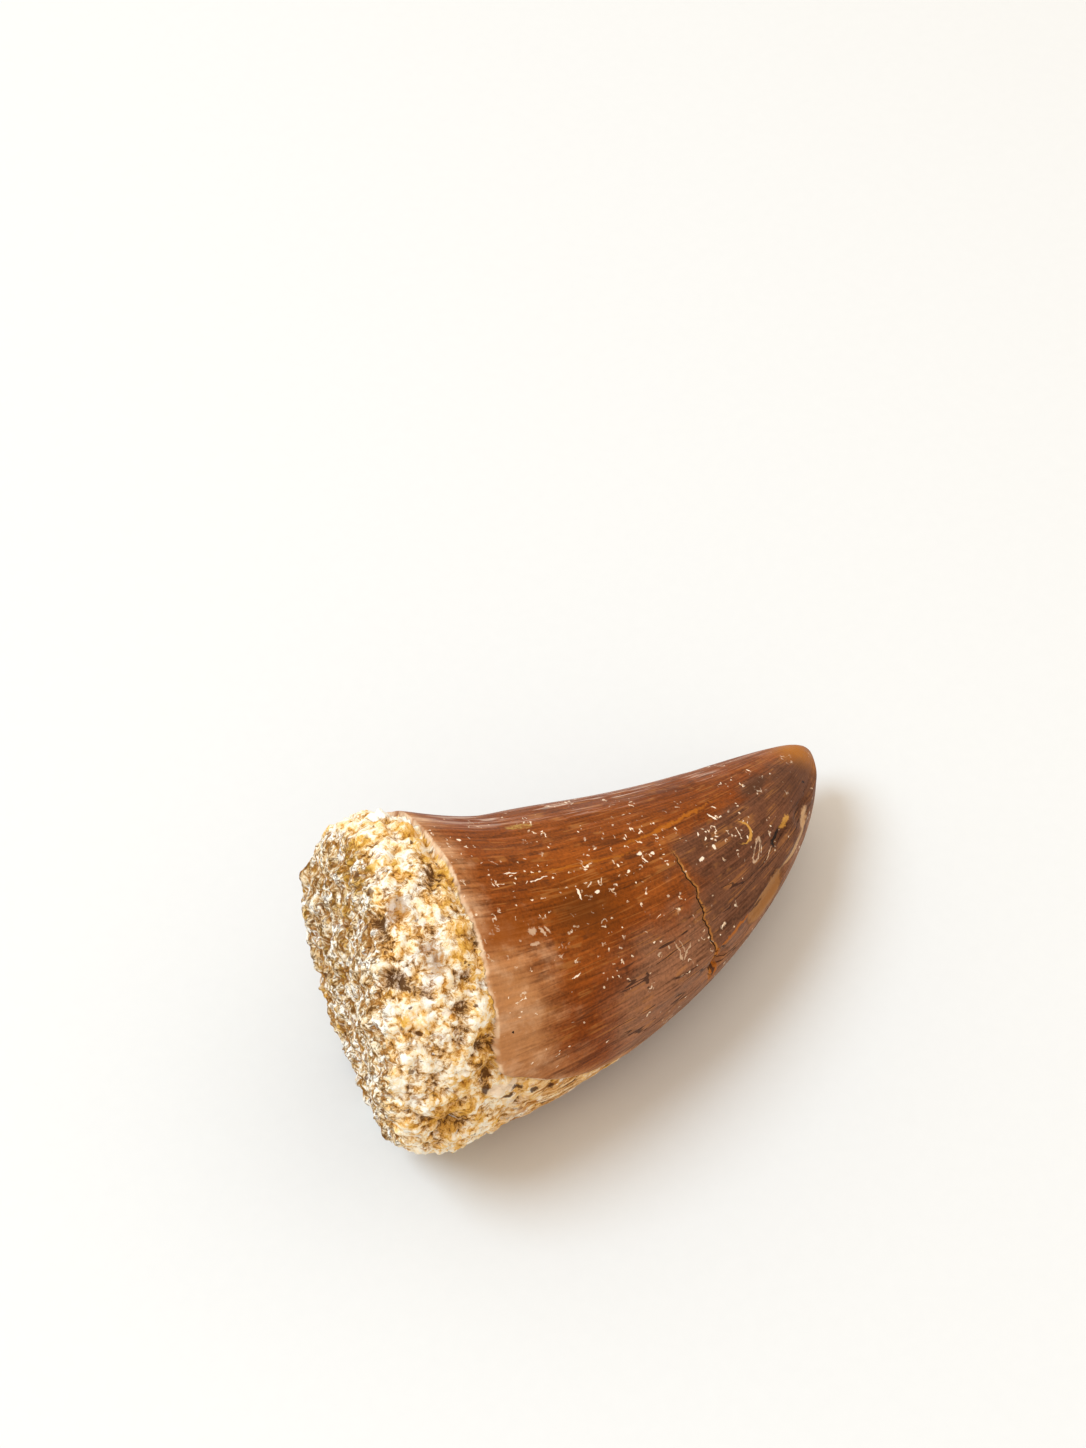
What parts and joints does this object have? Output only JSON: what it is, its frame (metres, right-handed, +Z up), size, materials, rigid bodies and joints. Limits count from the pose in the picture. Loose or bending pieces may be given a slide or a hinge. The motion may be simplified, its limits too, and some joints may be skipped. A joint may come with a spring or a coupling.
{
  "type": "fossil mosasaur tooth",
  "caption": "Curved conical tooth crown with brown enamel, worn cutting edges and a crack, on a short lumpy stub of its root, lying on its side.",
  "frame": {"origin": "middle of the bounding box's underside, on the surface that the tooth lies on", "axes": "+X from the broken root stub to the tip, along the chord of the curved crown; +Y to the crown's concave side; +Z up as the tooth lies"},
  "size_m": [0.0474, 0.0244, 0.0214],
  "materials": {
    "tooth": "satin"
  },
  "bodies": {
    "root": {"tooth": "tooth"}
  },
  "joints": []
}
